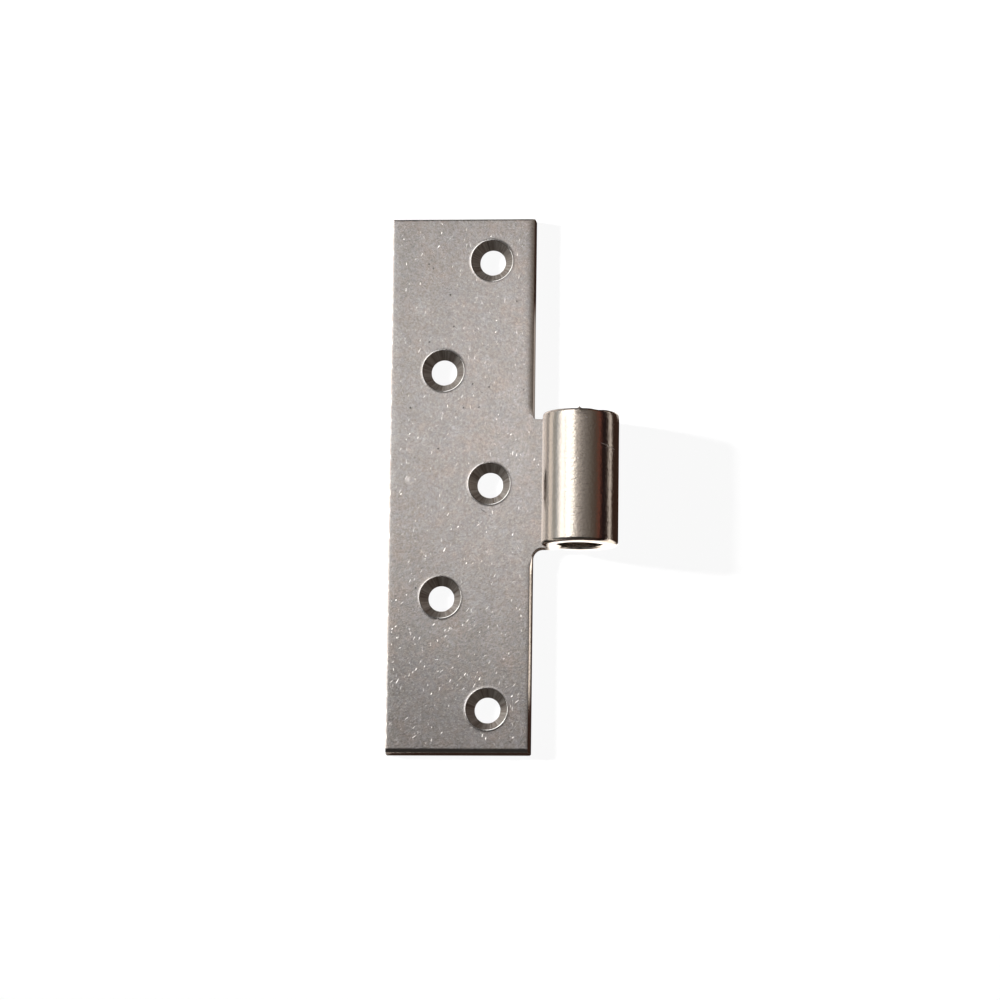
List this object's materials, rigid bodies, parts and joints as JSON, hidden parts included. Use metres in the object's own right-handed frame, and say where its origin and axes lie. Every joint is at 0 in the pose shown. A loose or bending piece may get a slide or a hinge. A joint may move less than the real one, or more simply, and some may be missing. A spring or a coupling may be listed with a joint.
{
  "type": "lift-off hinge leaf",
  "caption": "Flat steel leaf of a lift-off hinge, with countersunk screw holes and a tab rolled into an open knuckle for the pin.",
  "frame": {"origin": "on the pin's axis, halfway along the knuckle", "axes": "+Z out of the countersunk front, +Y along the leaf's height and the pin's axis, +X from the flat leaf towards the knuckle; the leaf lies on its back"},
  "size_m": [0.0471, 0.1105, 0.0156],
  "materials": {
    "satin_steel": "satin leaf with fine scratches, polished knuckle"
  },
  "bodies": {
    "root": {"hinge_leaf": "satin_steel"}
  },
  "joints": []
}
